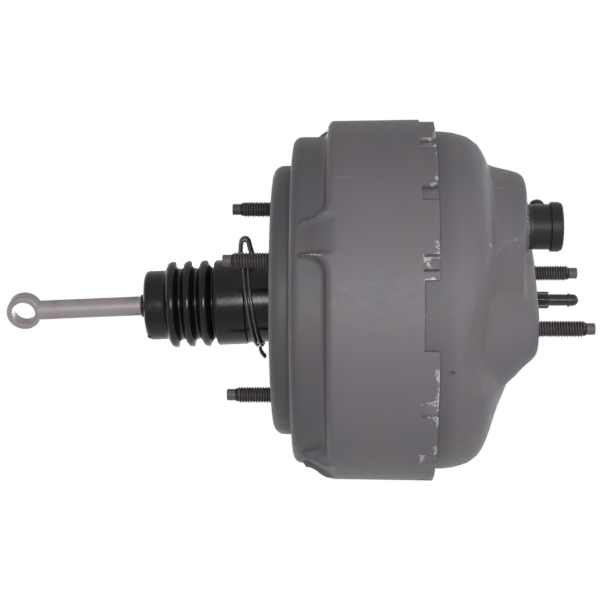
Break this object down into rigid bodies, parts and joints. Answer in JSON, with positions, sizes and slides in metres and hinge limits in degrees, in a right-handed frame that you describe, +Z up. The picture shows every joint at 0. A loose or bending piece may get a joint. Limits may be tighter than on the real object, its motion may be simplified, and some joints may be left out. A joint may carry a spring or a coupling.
{
  "type": "brake booster",
  "caption": "Tandem vacuum brake booster with pressed shells, bellows boot, eye-end pushrod, stud mounts, output rod and vacuum check valve.",
  "frame": {"origin": "centre of the firewall stud pattern on the rear mounting face", "axes": "+X along the booster axis towards the master cylinder, +Z up, -Y the side with the check valve's offset"},
  "size_m": [0.3514, 0.2174, 0.2174],
  "materials": {
    "shell_paint": "satin gray coating, faint purple tint",
    "stud_steel": "dark phosphate",
    "plate_steel": "plain pressed steel",
    "rod_steel": "bare turned steel",
    "output_steel": "dark oiled steel",
    "spring_steel": "oiled spring wire",
    "clip_wire": "blackened wire",
    "boot_rubber": "glossy black rubber",
    "seal_rubber": "matt black rubber",
    "black_plastic": "moulded black plastic",
    "valve_plastic": "dark moulded phenolic",
    "filter_felt": "gray felt"
  },
  "bodies": {
    "housing": {"rear_shell": "shell_paint", "neck_sleeve": "shell_paint", "front_shell": "shell_paint", "firewall_studs": "stud_steel", "master_cylinder_studs": "stud_steel", "stud_backing_plate": "plate_steel", "front_backing_plate": "plate_steel", "neck_seal": "seal_rubber", "neck_seal_retainer": "black_plastic", "front_seal": "seal_rubber", "front_seal_retainer": "plate_steel", "divider_plate": "plate_steel", "divider_seal": "seal_rubber", "boot": "boot_rubber", "boot_clip": "clip_wire", "return_spring": "spring_steel", "check_valve_grommet": "seal_rubber", "check_valve_body": "black_plastic", "check_valve_cap": "black_plastic", "check_valve_spring": "spring_steel"},
    "power_piston": {"valve_body": "valve_plastic", "lock_key": "plate_steel", "rear_piston_plate": "plate_steel", "front_piston_plate": "plate_steel", "rear_diaphragm": "seal_rubber", "front_diaphragm": "seal_rubber", "plate_retainer": "plate_steel", "reaction_disc": "seal_rubber", "reaction_retainer": "plate_steel", "output_rod": "output_steel", "adjusting_screw": "output_steel", "poppet_retainer": "black_plastic", "poppet_sleeve": "seal_rubber", "poppet_spring": "spring_steel", "valve_return_spring": "spring_steel", "air_filter": "filter_felt", "air_silencer": "filter_felt"},
    "plunger": {"valve_plunger": "output_steel"},
    "poppet": {"valve_poppet": "seal_rubber"},
    "pushrod_assembly": {"pushrod": "rod_steel", "spring_cup": "rod_steel", "rod_wiper": "boot_rubber"},
    "check_disc": {"check_valve_disc": "seal_rubber"}
  },
  "joints": [
    {"name": "piston_stroke", "type": "slide", "parent": "housing", "child": "power_piston", "axis": [1, 0, 0], "range_m": [0, 0.034], "stiffness_N_per_m": 4000, "springref_m": -0.03, "deforming": ["boot", "return_spring", "rear_diaphragm", "front_diaphragm"]},
    {"name": "plunger_travel", "type": "slide", "parent": "power_piston", "child": "plunger", "axis": [1, 0, 0], "range_m": [0, 0.0025], "stiffness_N_per_m": 3000, "springref_m": -0.004, "deforming": ["valve_return_spring"]},
    {"name": "pushrod_swivel", "type": "hinge", "parent": "plunger", "child": "pushrod_assembly", "pos_m": [0.0015, 0, 0], "axis": [0, 1, 0], "range_deg": [0, 5.28]},
    {"name": "poppet_travel", "type": "slide", "parent": "power_piston", "child": "poppet", "axis": [1, 0, 0], "range_m": [0, 0.0008], "deforming": ["poppet_sleeve", "poppet_spring"]},
    {"name": "check_valve_lift", "type": "slide", "parent": "housing", "child": "check_disc", "axis": [1, 0, 0], "range_m": [0, 0.0018], "stiffness_N_per_m": 150, "springref_m": -0.003, "deforming": ["check_valve_spring"]}
  ]
}
